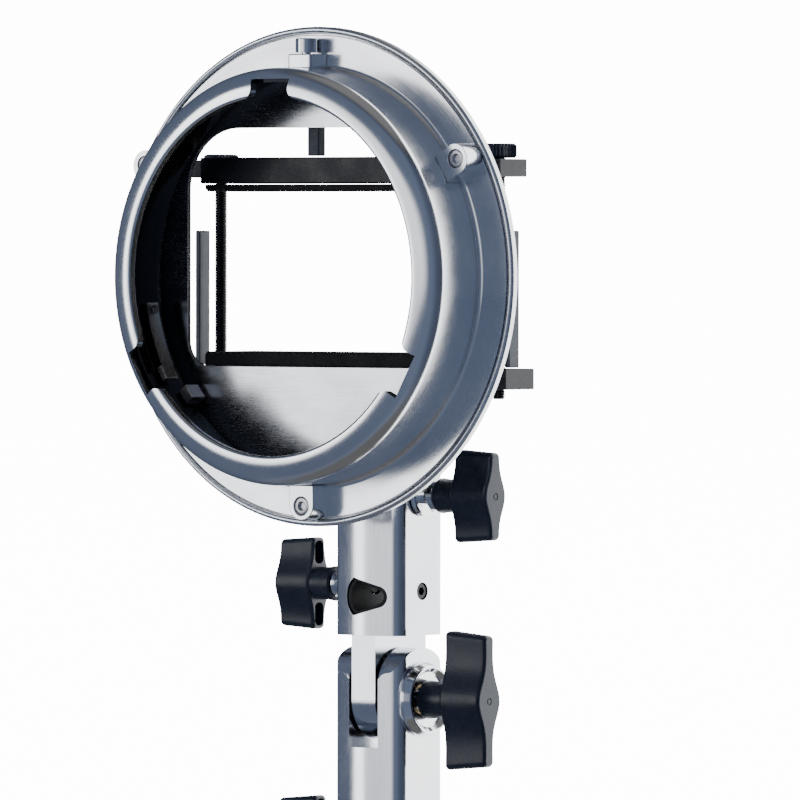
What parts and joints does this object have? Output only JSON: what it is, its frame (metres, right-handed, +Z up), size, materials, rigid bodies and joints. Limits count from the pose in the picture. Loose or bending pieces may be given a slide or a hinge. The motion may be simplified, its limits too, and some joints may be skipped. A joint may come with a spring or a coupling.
{
  "type": "umbrella swivel bracket",
  "caption": "Tilting stand bracket with an umbrella hole and wing knobs, carrying a flash-head clamp behind a bayonet ring for softboxes.",
  "frame": {"origin": "centre of the stand socket's mouth, on the underside of the lower block", "axes": "+Z up along the stand's spigot; -Y is the front that the bayonet ring faces; +X is the side of the tilt knob, parallel to the tilt axis"},
  "size_m": [0.152, 0.0724, 0.2787],
  "materials": {
    "polished_aluminium": "polished",
    "brushed_aluminium": "satin polished extrusion",
    "chrome": "bright chrome plate",
    "steel": "brushed, a little dulled",
    "black_metal": "matte black powder coat",
    "black_plastic": "fine satin moulded texture",
    "grey_plastic": "fine satin moulded texture",
    "rubber": "matte, moulded teeth",
    "brass": "turned"
  },
  "bodies": {
    "stand_block": {"lower_block": "brushed_aluminium", "tilt_bolt": "steel", "friction_washer_left": "black_plastic", "friction_washer_right": "black_plastic"},
    "stand_lock_slider": {"stand_lock_pad": "steel"},
    "stand_lock_handle": {"stand_lock_screw": "chrome", "stand_lock_knob": "black_plastic"},
    "tilt_lock_slider": {"tilt_boss": "chrome"},
    "tilt_lock_handle": {"tilt_knob": "black_plastic", "tilt_knob_bush": "brass"},
    "upper_body": {"upper_block": "brushed_aluminium", "umbrella_liner": "black_plastic", "umbrella_set_screw": "black_metal"},
    "umbrella_lock_slider": {"umbrella_lock_pad": "black_plastic"},
    "umbrella_lock_handle": {"umbrella_lock_screw": "chrome", "umbrella_lock_knob": "black_plastic"},
    "height_lock_slider": {"height_lock_pad": "steel"},
    "height_lock_handle": {"height_lock_screw": "chrome", "height_lock_knob": "black_plastic"},
    "head": {"head_post": "brushed_aluminium", "post_screw_left": "steel", "post_screw_right": "steel", "lower_jaw": "black_metal", "lower_pad": "rubber", "side_rail_left": "grey_plastic", "side_rail_right": "grey_plastic", "post_guide": "black_metal", "plate_bracket": "steel", "bracket_screw_left": "steel", "bracket_screw_right": "steel", "plate_nut_left": "steel", "plate_nut_right": "steel", "back_plate": "polished_aluminium", "bayonet_ring": "polished_aluminium", "flange_lug_30": "polished_aluminium", "flange_lug_150": "polished_aluminium", "flange_lug_270": "polished_aluminium", "lug_screw_30": "steel", "lug_screw_150": "steel", "lug_screw_270": "steel", "lock_lug": "polished_aluminium", "catch_bracket": "steel", "catch_rivet": "steel"},
    "sliding_jaw": {"upper_jaw": "black_metal", "upper_pad": "rubber", "centre_post": "grey_plastic"},
    "clamp_screw_left_body": {"clamp_screw_left": "black_metal", "clamp_cap_left": "black_plastic"},
    "clamp_screw_right_body": {"clamp_screw_right": "black_metal", "clamp_cap_right": "black_plastic"},
    "ring_lock_slider": {"ring_lock_pin": "steel"},
    "ring_lock_handle": {"ring_lock_screw": "chrome"},
    "catch": {"catch_spring": "steel", "catch_pawl": "steel"}
  },
  "joints": [
    {"name": "tilt", "type": "hinge", "parent": "stand_block", "child": "upper_body", "pos_m": [0, 0, 0.0705], "axis": [1, 0, 0], "range_deg": [-90, 90]},
    {"name": "head_height", "type": "slide", "parent": "upper_body", "child": "head", "axis": [0, 0, 1], "range_m": [0, 0.015]},
    {"name": "stand_lock_travel", "type": "slide", "parent": "stand_block", "child": "stand_lock_slider", "axis": [1, 0, 0], "range_m": [-0.002, 0.003]},
    {"name": "stand_lock_turn", "type": "hinge", "parent": "stand_lock_slider", "child": "stand_lock_handle", "pos_m": [0, 0, 0.0186], "axis": [1, 0, 0], "range_deg": [-588, 876]},
    {"name": "tilt_lock_travel", "type": "slide", "parent": "stand_block", "child": "tilt_lock_slider", "axis": [-1, 0, 0], "range_m": [-0.003, 0]},
    {"name": "tilt_lock_turn", "type": "hinge", "parent": "tilt_lock_slider", "child": "tilt_lock_handle", "pos_m": [0, 0, 0.0705], "axis": [-1, 0, 0], "range_deg": [-1092, 12]},
    {"name": "umbrella_lock_travel", "type": "slide", "parent": "upper_body", "child": "umbrella_lock_slider", "axis": [1, 0, 0], "range_m": [-0.001, 0.0032]},
    {"name": "umbrella_lock_turn", "type": "hinge", "parent": "umbrella_lock_slider", "child": "umbrella_lock_handle", "pos_m": [0, 0, 0.1053], "axis": [1, 0, 0], "range_deg": [-372, 1164]},
    {"name": "height_lock_travel", "type": "slide", "parent": "upper_body", "child": "height_lock_slider", "axis": [-1, 0, 0], "range_m": [-0.003, 0]},
    {"name": "height_lock_turn", "type": "hinge", "parent": "height_lock_slider", "child": "height_lock_handle", "pos_m": [0, 0, 0.133], "axis": [-1, 0, 0], "range_deg": [-1092, 12]},
    {"name": "jaw_travel", "type": "slide", "parent": "head", "child": "sliding_jaw", "axis": [0, 0, 1], "range_m": [-0.008, 0.002]},
    {"name": "clamp_left_turn", "type": "hinge", "parent": "sliding_jaw", "child": "clamp_screw_left_body", "pos_m": [-0.0541, -0.0152, 0.238], "axis": [0, 0, 1], "range_deg": [-3612, 912]},
    {"name": "clamp_right_turn", "type": "hinge", "parent": "sliding_jaw", "child": "clamp_screw_right_body", "pos_m": [0.0541, -0.0152, 0.238], "axis": [0, 0, 1], "range_deg": [-3612, 912]},
    {"name": "ring_lock_travel", "type": "slide", "parent": "head", "child": "ring_lock_slider", "axis": [0, 0, -1], "range_m": [-0.002, 0]},
    {"name": "ring_lock_turn", "type": "hinge", "parent": "ring_lock_slider", "child": "ring_lock_handle", "pos_m": [0, -0.0409, 0.27], "axis": [0, 0, -1], "range_deg": [-1452, 12]},
    {"name": "catch_flex", "type": "hinge", "parent": "head", "child": "catch", "pos_m": [-0.05781, -0.044, 0.18981], "axis": [0, 1, 0], "range_deg": [0, 1.5], "stiffness_Nm_per_rad": 0.2}
  ],
  "couplings": [
    {"joint": "stand_lock_turn", "follows": "stand_lock_travel", "rad_per_m": 5026.5},
    {"joint": "tilt_lock_turn", "follows": "tilt_lock_travel", "rad_per_m": 6283.2},
    {"joint": "umbrella_lock_turn", "follows": "umbrella_lock_travel", "rad_per_m": 6283.2},
    {"joint": "height_lock_turn", "follows": "height_lock_travel", "rad_per_m": 6283.2},
    {"joint": "clamp_left_turn", "follows": "jaw_travel", "rad_per_m": 7854},
    {"joint": "clamp_right_turn", "follows": "jaw_travel", "rad_per_m": 7854},
    {"joint": "ring_lock_turn", "follows": "ring_lock_travel", "rad_per_m": 12566}
  ]
}
